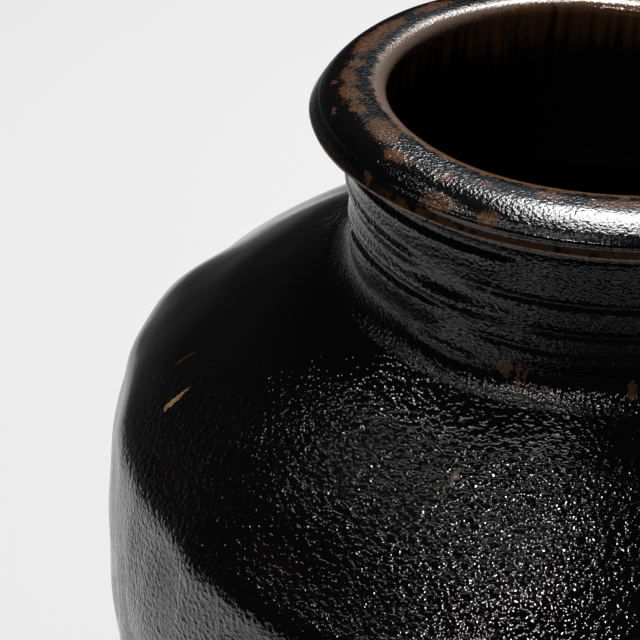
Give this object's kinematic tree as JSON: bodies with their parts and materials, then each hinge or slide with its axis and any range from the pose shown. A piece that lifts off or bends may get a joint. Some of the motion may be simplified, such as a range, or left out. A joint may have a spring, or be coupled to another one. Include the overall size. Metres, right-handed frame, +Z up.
{
  "type": "pickle crock",
  "caption": "Open stoneware pickling jar with a flat foot, broad belly, soft shoulder corner, short ringed neck and thick rolled rim.",
  "frame": {"origin": "centre of the foot's resting face, on the axis the crock was turned about", "axes": "+Z up along the turning axis, out of the mouth. +X and +Y are level and, the crock being round, interchangeable"},
  "size_m": [0.3198, 0.3198, 0.3202],
  "materials": {
    "bare_clay": "matt unglazed iron-brown stoneware",
    "wall_glaze": "glossy black glaze with a fine orange-peel surface",
    "shoulder_glaze": "glossy black glaze with orange-peel surface and small tan scars",
    "neck_glaze": "glossy black glaze over finger rings",
    "rim_glaze": "glossy black glaze that breaks to rust brown"
  },
  "bodies": {
    "root": {"base_slab": "bare_clay", "foot_wall": "wall_glaze", "belly_wall": "wall_glaze", "upper_wall": "wall_glaze", "shoulder": "shoulder_glaze", "neck_collar": "neck_glaze", "rim_roll": "rim_glaze"}
  },
  "joints": []
}
